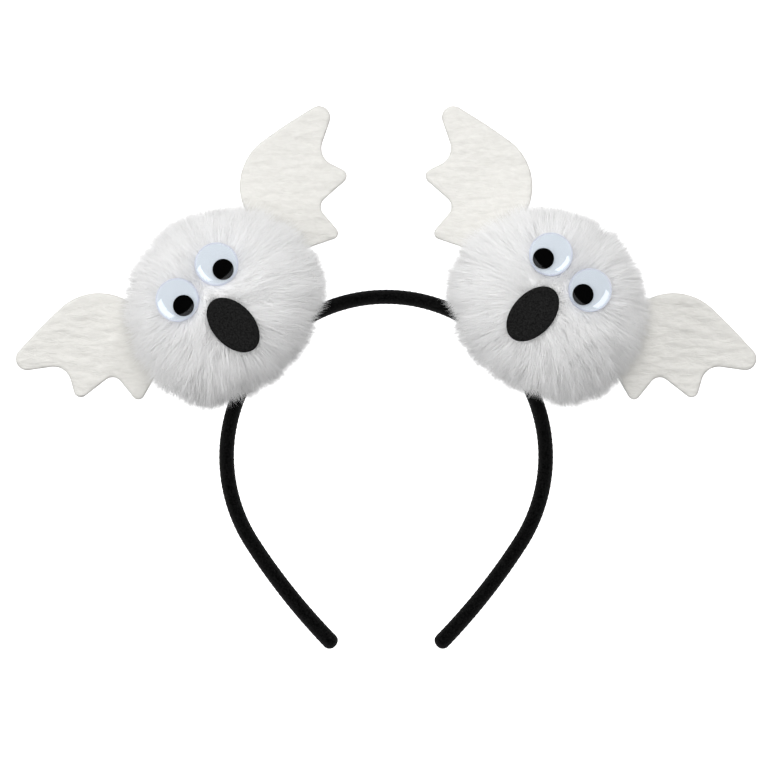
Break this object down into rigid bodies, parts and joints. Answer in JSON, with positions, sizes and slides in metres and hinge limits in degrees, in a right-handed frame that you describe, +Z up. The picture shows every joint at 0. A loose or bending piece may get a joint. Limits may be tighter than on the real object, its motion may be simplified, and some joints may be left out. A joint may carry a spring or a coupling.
{
  "type": "ghost pompom headband",
  "caption": "Costume headband: a springy fabric-wrapped hoop carrying furry pompom ghosts with felt wings, googly eyes and felt mouths.",
  "frame": {"origin": "on the table, under the middle of the whole part's box", "axes": "+X to the right as seen from the front, +Y up the headband towards the crown and the inner wings, +Z up off the table; the ghosts' faces look up"},
  "size_m": [0.3094, 0.2238, 0.0768],
  "materials": {
    "band_fabric": "matte black woven ribbon",
    "white_fur": "soft white faux fur",
    "white_felt": "off-white wrinkled felt",
    "black_felt": "matte black felt",
    "eye_white": "smooth white card-like plastic",
    "eye_clear": "clear glossy plastic",
    "pupil_black": "smooth black plastic"
  },
  "bodies": {
    "headband": {"band": "band_fabric", "left_pompom": "white_fur", "right_pompom": "white_fur", "left_outer_wing": "white_felt", "left_inner_wing": "white_felt", "right_inner_wing": "white_felt", "right_outer_wing": "white_felt", "left_mouth": "black_felt", "right_mouth": "black_felt", "left_inner_eye_back": "eye_white", "left_inner_eye_dome": "eye_clear", "left_outer_eye_back": "eye_white", "left_outer_eye_dome": "eye_clear", "right_inner_eye_back": "eye_white", "right_inner_eye_dome": "eye_clear", "right_outer_eye_back": "eye_white", "right_outer_eye_dome": "eye_clear"},
    "left_inner_pupil": {"left_inner_eye_pupil": "pupil_black"},
    "left_outer_pupil": {"left_outer_eye_pupil": "pupil_black"},
    "right_inner_pupil": {"right_inner_eye_pupil": "pupil_black"},
    "right_outer_pupil": {"right_outer_eye_pupil": "pupil_black"}
  },
  "joints": [
    {"name": "left_inner_pupil_roll", "type": "hinge", "parent": "headband", "child": "left_inner_pupil", "pos_m": [-0.07033, 0.03919, 0.07112], "axis": [-0.0271, -0.0226, 0.9994], "continuous": true},
    {"name": "left_outer_pupil_roll", "type": "hinge", "parent": "headband", "child": "left_outer_pupil", "pos_m": [-0.0865, 0.02465, 0.06851], "axis": [-0.1546, -0.1509, 0.9764], "continuous": true},
    {"name": "right_inner_pupil_roll", "type": "hinge", "parent": "headband", "child": "right_inner_pupil", "pos_m": [0.06824, 0.04321, 0.07184], "axis": [0.0074, -0.0205, 0.9998], "continuous": true},
    {"name": "right_outer_pupil_roll", "type": "hinge", "parent": "headband", "child": "right_outer_pupil", "pos_m": [0.08441, 0.02867, 0.06923], "axis": [0.1448, -0.1159, 0.9827], "continuous": true}
  ]
}
